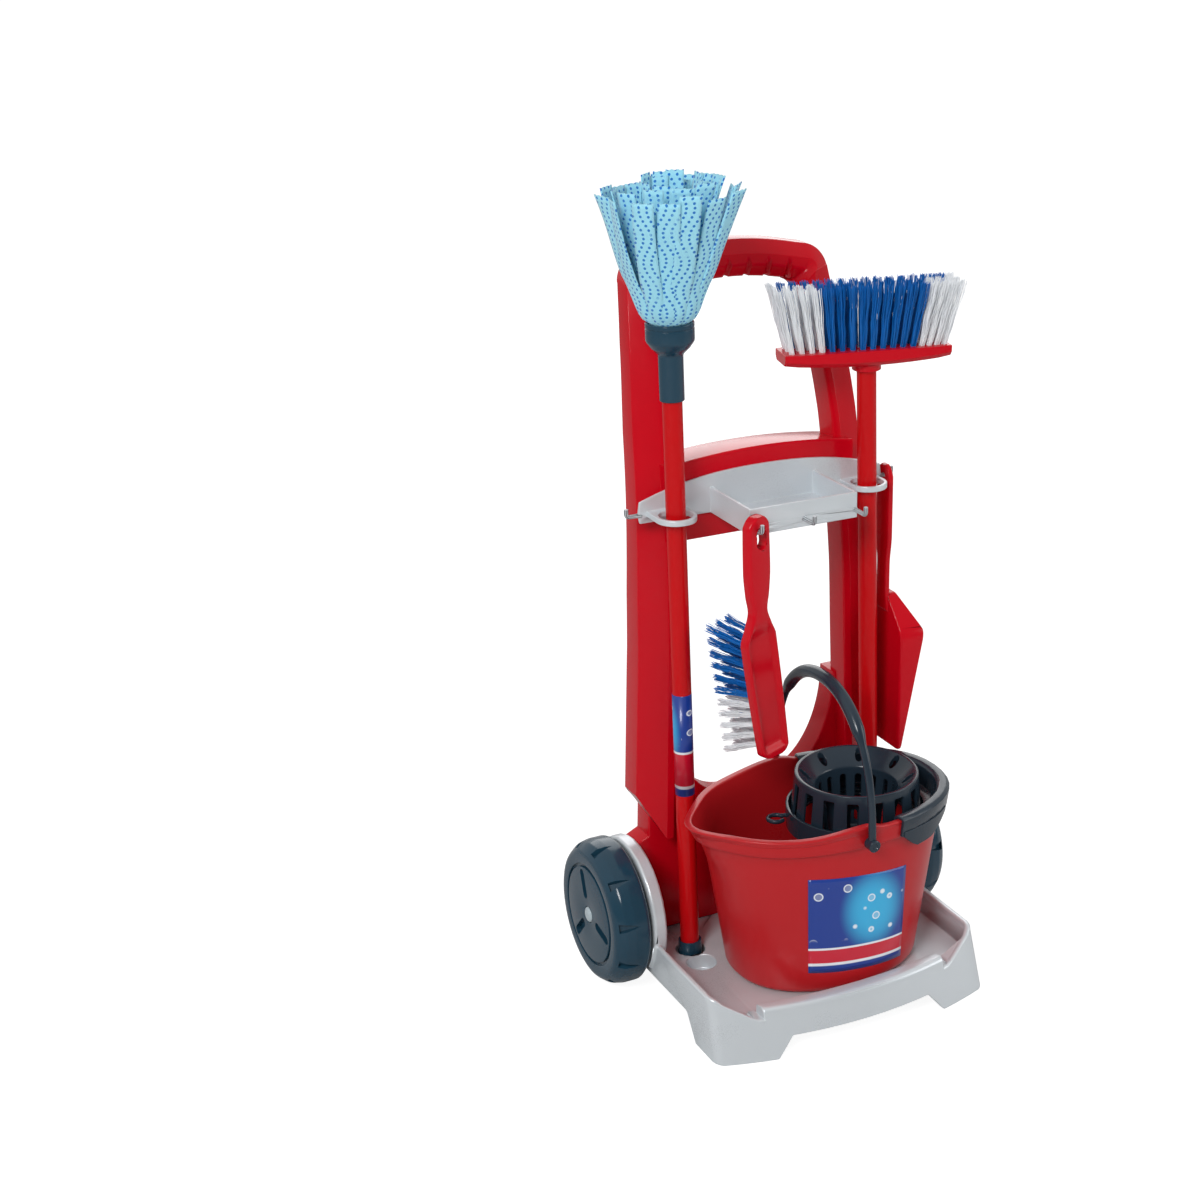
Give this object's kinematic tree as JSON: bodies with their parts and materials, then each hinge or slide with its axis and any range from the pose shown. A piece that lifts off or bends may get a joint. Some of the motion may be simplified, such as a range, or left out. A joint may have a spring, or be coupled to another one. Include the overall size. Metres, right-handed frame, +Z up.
{
  "type": "toy cleaning trolley",
  "caption": "Wheeled toy cleaning trolley: tray base, push frame and shelf carrying a mop bucket with wringer, a mop, a broom, a hand brush and a dustpan.",
  "frame": {"origin": "on the floor below the middle of the bounding box", "axes": "+Z up, -Y the front where the base tray is bowed, +X the trolley's right side where the broom and dustpan are"},
  "size_m": [0.3076, 0.2444, 0.6318],
  "materials": {
    "red": "glossy red moulded plastic",
    "bucket_red": "satin red moulded plastic",
    "stick": "red coated tube",
    "silver": "silver grey plastic with a slight metallic sheen",
    "slate": "dark slate plastic",
    "dark": "near-black plastic",
    "grey": "pale grey cap",
    "steel": "zinc plated",
    "cloth": "light blue non-woven cloth with printed dots",
    "blue_bristle": "blue bristles",
    "white_bristle": "white bristles"
  },
  "bodies": {
    "chassis": {"base_tray": "silver", "push_frame": "red", "shelf": "silver", "axle_pin_left": "steel", "axle_pin_right": "steel", "hub_cap_left": "grey", "hub_cap_right": "grey", "frame_screw_1": "steel", "frame_screw_2": "steel", "frame_screw_3": "steel", "frame_screw_4": "steel", "shelf_screw_left": "steel", "shelf_screw_right": "steel"},
    "wheel_left": {"wheel_left": "slate"},
    "wheel_right": {"wheel_right": "slate"},
    "bucket": {"bucket": "bucket_red", "wringer_carrier": "dark"},
    "bail": {"bucket_bail": "dark"},
    "wringer": {"wringer_basket": "dark"},
    "mop": {"mop_stick": "stick", "mop_end_cap": "slate", "mop_socket": "slate", "mop_strips": "cloth"},
    "broom": {"broom_stick": "stick", "broom_end_cap": "slate", "broom_head": "red", "broom_bristles_left": "white_bristle", "broom_bristles_middle": "blue_bristle", "broom_bristles_right": "white_bristle"},
    "hand_brush": {"brush_body": "red", "brush_bristles_upper": "blue_bristle", "brush_bristles_lower": "white_bristle"},
    "dustpan": {"dustpan": "red"}
  },
  "joints": [
    {"name": "wheel_left_spin", "type": "hinge", "parent": "chassis", "child": "wheel_left", "pos_m": [-0.15229, 0.05475, 0.0585], "axis": [1, 0, 0], "continuous": true},
    {"name": "wheel_right_spin", "type": "hinge", "parent": "chassis", "child": "wheel_right", "pos_m": [0.14791, 0.05475, 0.0585], "axis": [1, 0, 0], "continuous": true},
    {"name": "bucket_lift", "type": "slide", "parent": "chassis", "child": "bucket", "axis": [0, -0.1191, 0.9929], "range_m": [0, 0.035]},
    {"name": "bail_swing", "type": "hinge", "parent": "bucket", "child": "bail", "pos_m": [0.00881, -0.03335, 0.1545], "axis": [0, 1, 0], "range_deg": [-10, 45]},
    {"name": "wringer_lift", "type": "slide", "parent": "bucket", "child": "wringer", "axis": [0, 0, 1], "range_m": [0, 0.015]},
    {"name": "mop_lift", "type": "slide", "parent": "chassis", "child": "mop", "axis": [-0.0125, 0.0087, 0.9999], "range_m": [0, 0.1]},
    {"name": "broom_lift", "type": "slide", "parent": "chassis", "child": "broom", "axis": [-0.0274, -0.0063, 0.9996], "range_m": [0, 0.1]},
    {"name": "brush_swing", "type": "hinge", "parent": "chassis", "child": "hand_brush", "pos_m": [-0.04559, -0.02882, 0.3883], "axis": [0, 1, 0], "range_deg": [-2, 6]},
    {"name": "dustpan_swing", "type": "hinge", "parent": "chassis", "child": "dustpan", "pos_m": [0.10686, 0.0421, 0.3883], "axis": [1, 0, 0], "range_deg": [-4, 8]}
  ]
}
